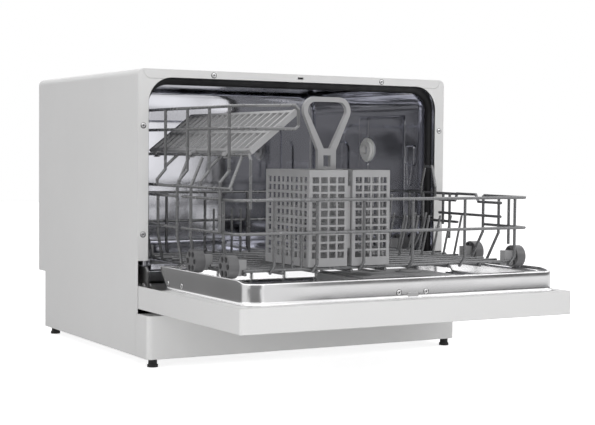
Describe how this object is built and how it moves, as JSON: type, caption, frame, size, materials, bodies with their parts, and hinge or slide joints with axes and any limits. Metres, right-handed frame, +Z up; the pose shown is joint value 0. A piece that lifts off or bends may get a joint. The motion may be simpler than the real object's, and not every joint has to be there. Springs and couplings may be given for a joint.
{
  "type": "countertop dishwasher",
  "caption": "Boxy tabletop dishwasher with its front door open flat and a wheeled wire dish basket, cutlery basket and folding cup shelf drawn out of the steel tub",
  "frame": {"origin": "centre of the bounding box's base, on the worktop", "axes": "+X to the right seen from the front, +Y to the rear, +Z up; the door opens towards -Y"},
  "size_m": [0.55, 0.766, 0.438],
  "materials": {
    "cover_paint": "satin powder coat",
    "steel": "bright rolled stainless",
    "frame_steel": "galvanised",
    "seal_rubber": "matt",
    "foot_rubber": "matt",
    "wire_coat": "smooth grey coating",
    "grey_plastic": "fine satin",
    "dark_plastic": "matt",
    "white_plastic": "satin",
    "panel_plastic": "satin",
    "window_plastic": "glossy dark",
    "circuit_board": "matt",
    "pump_metal": "cast",
    "heater_metal": "heat dulled",
    "screw_steel": "bright",
    "hose_rubber": "matt"
  },
  "bodies": {
    "cabinet": {"top_cover": "cover_paint", "left_side_panel": "cover_paint", "right_side_panel": "cover_paint", "kick_panel": "cover_paint", "rear_panel": "cover_paint", "base_tray": "frame_steel", "feet": "foot_rubber", "tub_wrap": "steel", "tub_floor": "steel", "tub_back": "steel", "tub_seal": "seal_rubber", "side_rails": "frame_steel", "flange_screws": "screw_steel", "latch_catch": "frame_steel", "sump": "dark_plastic", "filter_plate": "steel", "spray_hub": "grey_plastic", "wash_pump": "pump_metal", "drain_pump": "dark_plastic", "water_hoses": "hose_rubber", "inlet_valve": "white_plastic", "heating_element": "heater_metal", "air_breather": "white_plastic", "breather_nut": "white_plastic", "cord_gland": "dark_plastic"},
    "door": {"door_outer_panel": "cover_paint", "door_liner": "steel", "control_panel": "panel_plastic", "display_window": "window_plastic", "control_board": "circuit_board", "hinge_brackets": "frame_steel", "liner_screws": "screw_steel", "latch_plate": "frame_steel", "dispenser_body": "grey_plastic"},
    "basket": {"basket_floor": "wire_coat", "basket_front": "wire_coat", "basket_rear": "wire_coat", "basket_left": "wire_coat", "basket_right": "wire_coat", "basket_tines": "wire_coat", "wheel_clips": "grey_plastic", "cup_guard": "wire_coat"},
    "filter": {"filter_cylinder": "dark_plastic"},
    "arm": {"spray_arm": "grey_plastic"},
    "lid": {"dispenser_lid": "grey_plastic"},
    "cap": {"rinse_cap": "grey_plastic"},
    "power": {"power_button": "dark_plastic"},
    "program": {"program_button": "dark_plastic"},
    "start": {"start_button": "dark_plastic"},
    "shelf": {"cup_shelf": "grey_plastic"},
    "cutlery": {"cutlery_bins": "grey_plastic", "cutlery_handle": "grey_plastic"},
    "left_wheel_1_body": {"left_wheel_1": "grey_plastic"},
    "left_wheel_2_body": {"left_wheel_2": "grey_plastic"},
    "left_wheel_3_body": {"left_wheel_3": "grey_plastic"},
    "right_wheel_1_body": {"right_wheel_1": "grey_plastic"},
    "right_wheel_2_body": {"right_wheel_2": "grey_plastic"},
    "right_wheel_3_body": {"right_wheel_3": "grey_plastic"}
  },
  "joints": [
    {"name": "door_hinge", "type": "hinge", "parent": "cabinet", "child": "door", "pos_m": [0, -0.0605, 0.1155], "axis": [-1, 0, 0], "range_deg": [-1.5, 0], "stiffness_Nm_per_rad": 14, "springref_deg": 57.3},
    {"name": "basket_slide", "type": "slide", "parent": "cabinet", "child": "basket", "axis": [0, -1, 0], "range_m": [-0.295, 0.04]},
    {"name": "shelf_fold", "type": "hinge", "parent": "basket", "child": "shelf", "pos_m": [-0.222, -0.093, 0.312], "axis": [0, -1, 0], "range_deg": [0, 50]},
    {"name": "cutlery_lift", "type": "slide", "parent": "basket", "child": "cutlery", "axis": [0, 0, 1], "range_m": [0, 0.14]},
    {"name": "spray_turn", "type": "hinge", "parent": "cabinet", "child": "arm", "pos_m": [0, 0.16325, 0.13], "axis": [0, 0, 1], "continuous": true},
    {"name": "filter_twist", "type": "hinge", "parent": "cabinet", "child": "filter", "pos_m": [-0.12, 0.0745, 0.12], "axis": [0, 0, 1], "range_deg": [0, 90]},
    {"name": "lid_slide", "type": "slide", "parent": "door", "child": "lid", "axis": [0, 1, 0], "range_m": [0, 0.052]},
    {"name": "cap_twist", "type": "hinge", "parent": "door", "child": "cap", "pos_m": [0.085, -0.233, 0.14], "axis": [0, 0, 1], "range_deg": [0, 90]},
    {"name": "power_press", "type": "slide", "parent": "door", "child": "power", "axis": [0, 0, 1], "range_m": [0, 0.0015], "stiffness_N_per_m": 400, "springref_m": -0.0005},
    {"name": "program_press", "type": "slide", "parent": "door", "child": "program", "axis": [0, 0, 1], "range_m": [0, 0.0015], "stiffness_N_per_m": 400, "springref_m": -0.0005},
    {"name": "start_press", "type": "slide", "parent": "door", "child": "start", "axis": [0, 0, 1], "range_m": [0, 0.0015], "stiffness_N_per_m": 400, "springref_m": -0.0005},
    {"name": "left_wheel_1_roll", "type": "hinge", "parent": "basket", "child": "left_wheel_1_body", "pos_m": [-0.242, -0.2875, 0.1627], "axis": [1, 0, 0], "range_deg": [-1045, 159]},
    {"name": "left_wheel_2_roll", "type": "hinge", "parent": "basket", "child": "left_wheel_2_body", "pos_m": [-0.242, -0.1845, 0.1627], "axis": [1, 0, 0], "range_deg": [-1045, 159]},
    {"name": "left_wheel_3_roll", "type": "hinge", "parent": "basket", "child": "left_wheel_3_body", "pos_m": [-0.242, 0.0215, 0.1627], "axis": [1, 0, 0], "range_deg": [-1045, 159]},
    {"name": "right_wheel_1_roll", "type": "hinge", "parent": "basket", "child": "right_wheel_1_body", "pos_m": [0.242, -0.2875, 0.1627], "axis": [1, 0, 0], "range_deg": [-1045, 159]},
    {"name": "right_wheel_2_roll", "type": "hinge", "parent": "basket", "child": "right_wheel_2_body", "pos_m": [0.242, -0.1845, 0.1627], "axis": [1, 0, 0], "range_deg": [-1045, 159]},
    {"name": "right_wheel_3_roll", "type": "hinge", "parent": "basket", "child": "right_wheel_3_body", "pos_m": [0.242, 0.0215, 0.1627], "axis": [1, 0, 0], "range_deg": [-1045, 159]}
  ],
  "couplings": [
    {"joint": "left_wheel_1_roll", "follows": "basket_slide", "rad_per_m": 60.606},
    {"joint": "left_wheel_2_roll", "follows": "basket_slide", "rad_per_m": 60.606},
    {"joint": "left_wheel_3_roll", "follows": "basket_slide", "rad_per_m": 60.606},
    {"joint": "right_wheel_1_roll", "follows": "basket_slide", "rad_per_m": 60.606},
    {"joint": "right_wheel_2_roll", "follows": "basket_slide", "rad_per_m": 60.606},
    {"joint": "right_wheel_3_roll", "follows": "basket_slide", "rad_per_m": 60.606}
  ]
}
